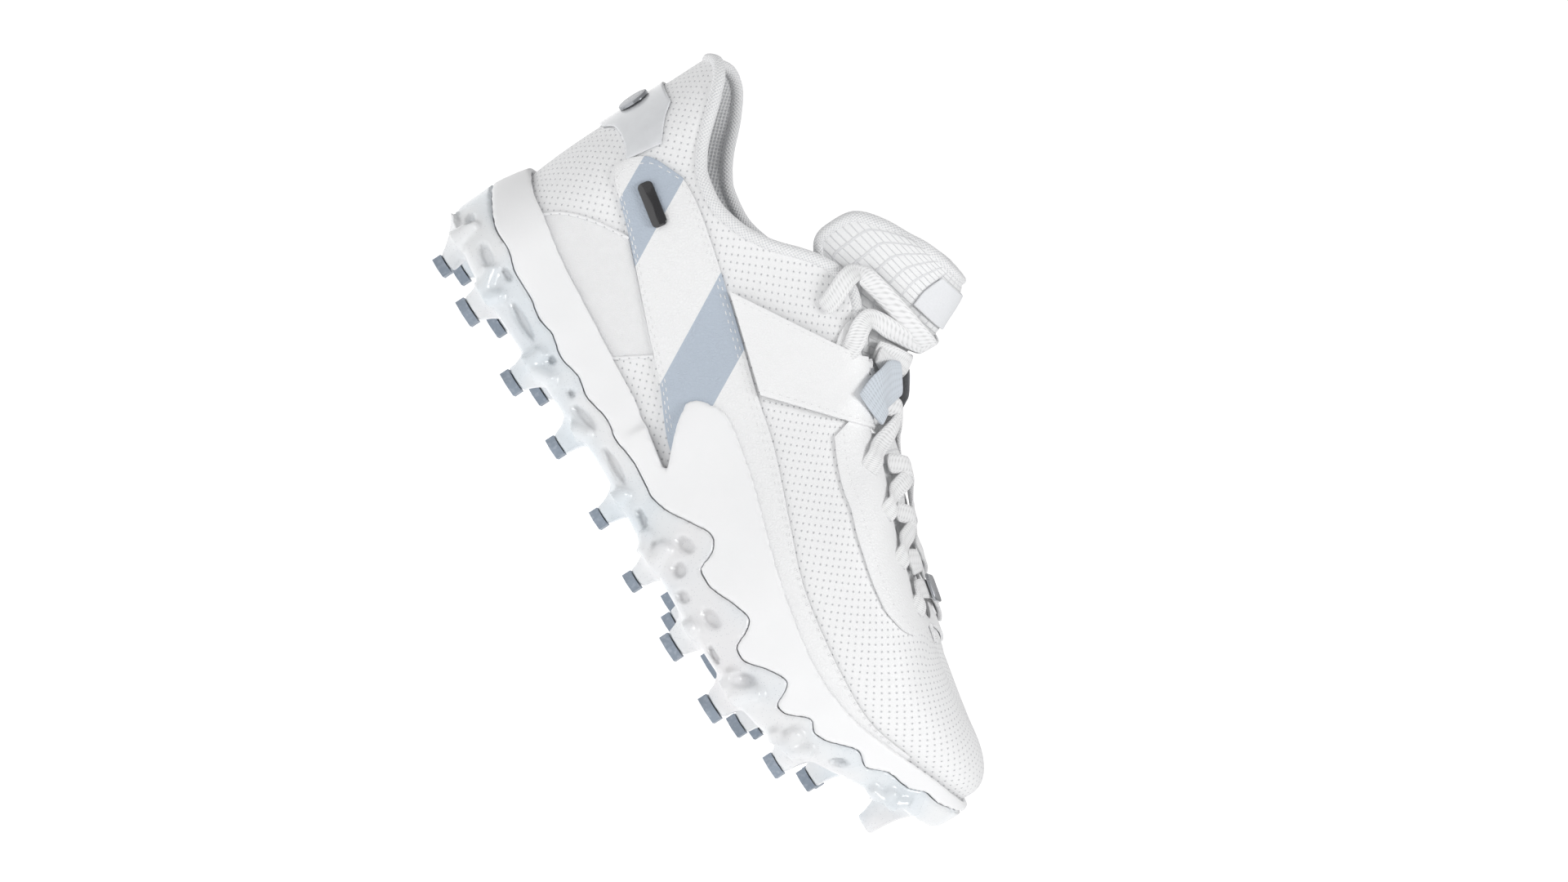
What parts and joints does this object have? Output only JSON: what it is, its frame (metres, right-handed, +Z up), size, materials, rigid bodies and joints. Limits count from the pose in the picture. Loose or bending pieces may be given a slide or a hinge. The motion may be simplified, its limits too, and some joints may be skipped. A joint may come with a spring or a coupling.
{
  "type": "baseball cleat",
  "caption": "Low-top lace-up baseball cleat for the right foot, standing on moulded rubber studs, with a padded collar, a tall tongue and a midfoot strap.",
  "frame": {"origin": "middle of the shoe's bounding box on the ground", "axes": "+X from heel to toe, +Y to the inner (medial) side, +Z up"},
  "size_m": [0.2466, 0.0878, 0.137],
  "materials": {
    "ice_rubber": "cloudy translucent ice-white moulding, satin",
    "slate_rubber": "slate grey, matt",
    "white_foam": "smooth white moulded foam",
    "insole_foam": "pale lining cloth over foam",
    "white_synthetic": "fine grained white synthetic with perforations",
    "mesh_knit": "padded white mesh",
    "ripstop": "white ripstop cloth",
    "grained_synthetic": "white grained synthetic, satin",
    "strap_leather": "tumbled white leather",
    "pale_webbing": "pale grey-blue webbing",
    "dark_webbing": "dark grey webbing",
    "gloss_patch": "pale grey gloss film",
    "lace_weave": "flat white woven lace",
    "keeper_metal": "grey satin metal",
    "badge_metal": "grey satin disc",
    "black_gloss": "black gloss",
    "label_patch": "grey woven patch"
  },
  "bodies": {
    "root": {"collar_roll": "mesh_knit", "eyestay": "grained_synthetic", "heel_badge": "badge_metal", "heel_strap": "gloss_patch", "insole": "insole_foam", "lace_bar": "lace_weave", "lace_cross_1": "lace_weave", "lace_cross_2": "lace_weave", "lace_cross_3": "lace_weave", "lace_cross_4": "lace_weave", "lace_cross_5": "lace_weave", "lace_cross_6": "lace_weave", "lace_keeper": "keeper_metal", "midsole": "white_foam", "outsole": "ice_rubber", "side_panel_inner": "grained_synthetic", "side_panel_outer": "grained_synthetic", "side_stud": "black_gloss", "strap_end_inner": "dark_webbing", "strap_end_outer": "pale_webbing", "strap_inner": "strap_leather", "strap_outer": "strap_leather", "stud_tip_01": "slate_rubber", "stud_tip_02": "slate_rubber", "stud_tip_03": "slate_rubber", "stud_tip_04": "slate_rubber", "stud_tip_05": "slate_rubber", "stud_tip_06": "slate_rubber", "stud_tip_07": "slate_rubber", "stud_tip_08": "slate_rubber", "stud_tip_09": "slate_rubber", "stud_tip_10": "slate_rubber", "stud_tip_11": "slate_rubber", "stud_tip_12": "slate_rubber", "stud_tip_13": "slate_rubber", "stud_tip_14": "slate_rubber", "stud_tip_15": "slate_rubber", "stud_tip_16": "slate_rubber", "stud_tip_17": "slate_rubber", "stud_tip_18": "slate_rubber", "stud_tip_19": "slate_rubber", "tongue": "ripstop", "tongue_label": "label_patch", "upper": "white_synthetic"}
  },
  "joints": []
}
